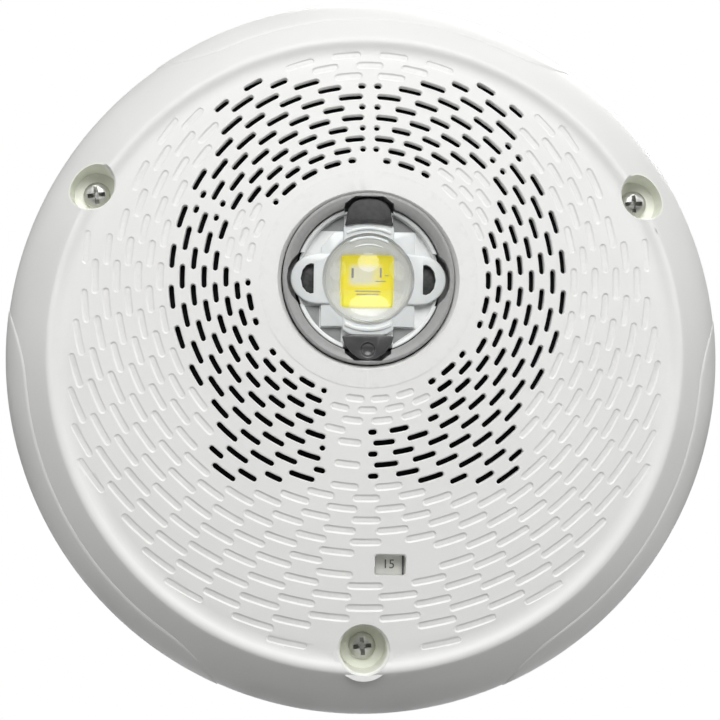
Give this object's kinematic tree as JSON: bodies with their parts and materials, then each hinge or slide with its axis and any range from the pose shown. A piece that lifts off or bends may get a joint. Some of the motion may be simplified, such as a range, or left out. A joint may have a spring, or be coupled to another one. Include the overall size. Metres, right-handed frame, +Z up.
{
  "type": "alarm siren",
  "caption": "Round white wall or ceiling speaker strobe: slotted cover over a loudspeaker, clear LED strobe lens, brightness window, on a mounting plate.",
  "frame": {"origin": "centre of the mounting plate's back face, in the plane of the wall", "axes": "+Y into the wall, -Y out of the device's face, +Z up, +X to the right as seen from the front"},
  "size_m": [0.173, 0.0502, 0.173],
  "materials": {
    "white_cover": "satin",
    "screw_zinc": "satin",
    "bezel_grey": "gloss",
    "lens_clear": "gloss",
    "reflector_silver": "gloss",
    "board_green": "satin",
    "led_yellow": "satin",
    "black_plastic": "satin",
    "black_rubber": "matte",
    "black_screen": "matte",
    "speaker_steel": "satin",
    "magnet_ferrite": "matte",
    "spider_cloth": "matte",
    "coil_copper": "satin",
    "strip_print": "satin",
    "capacitor_sleeve": "gloss",
    "header_cream": "satin"
  },
  "bodies": {
    "root": {"front_cover": "white_cover", "cover_screw_left": "screw_zinc", "cover_screw_right": "screw_zinc", "cover_screw_bottom": "screw_zinc", "mounting_plate": "white_cover", "bezel_ring": "bezel_grey", "strobe_lens": "lens_clear", "reflector": "reflector_silver", "led_board": "board_green", "led_chip": "led_yellow", "lens_clip_top": "black_plastic", "lens_clip_bottom": "black_plastic", "module_carrier": "black_plastic", "module_screw_1": "screw_zinc", "module_screw_2": "screw_zinc", "module_screw_3": "screw_zinc", "strobe_gasket": "black_rubber", "dust_screen": "black_screen", "speaker_basket": "speaker_steel", "speaker_screw_1": "screw_zinc", "speaker_screw_2": "screw_zinc", "speaker_screw_3": "screw_zinc", "speaker_screw_4": "screw_zinc", "top_plate": "screw_zinc", "magnet_ring": "magnet_ferrite", "pole_yoke": "screw_zinc", "surround": "black_rubber", "spider": "spider_cloth", "speaker_gasket": "black_rubber", "main_board": "board_green", "candela_switch": "black_plastic", "tap_switch": "black_plastic", "voltage_switch": "screw_zinc", "terminal_block": "bezel_grey", "terminal_screw_1": "screw_zinc", "terminal_screw_2": "screw_zinc", "terminal_screw_3": "screw_zinc", "terminal_screw_4": "screw_zinc", "transformer_core": "speaker_steel", "transformer_coil_1": "coil_copper", "transformer_coil_2": "coil_copper", "capacitor_1": "capacitor_sleeve", "capacitor_2": "capacitor_sleeve", "capacitor_3": "capacitor_sleeve", "flash_capacitor": "capacitor_sleeve", "connector_header": "header_cream"},
    "candela_slide_parts": {"candela_carriage": "black_plastic", "candela_strip": "strip_print"},
    "tap_knob_part": {"tap_knob": "black_plastic"},
    "voltage_slider_part": {"voltage_slider": "black_plastic"},
    "cone_parts": {"cone": "black_screen", "voice_coil": "coil_copper", "dust_cap": "black_screen"}
  },
  "joints": [
    {"name": "candela_slide", "type": "slide", "parent": "root", "child": "candela_slide_parts", "axis": [-1, 0, 0], "range_m": [0, 0.039]},
    {"name": "tap_turn", "type": "hinge", "parent": "root", "child": "tap_knob_part", "pos_m": [-0.022, -0.0013, -0.0568], "axis": [0, -1, 0], "range_deg": [0, 90]},
    {"name": "voltage_slide", "type": "slide", "parent": "root", "child": "voltage_slider_part", "axis": [1, 0, 0], "range_m": [0, 0.004]},
    {"name": "cone_travel", "type": "slide", "parent": "root", "child": "cone_parts", "axis": [0, -1, 0], "range_m": [-0.0012, 0.0012], "stiffness_N_per_m": 2200, "deforming": ["surround", "spider"]}
  ]
}
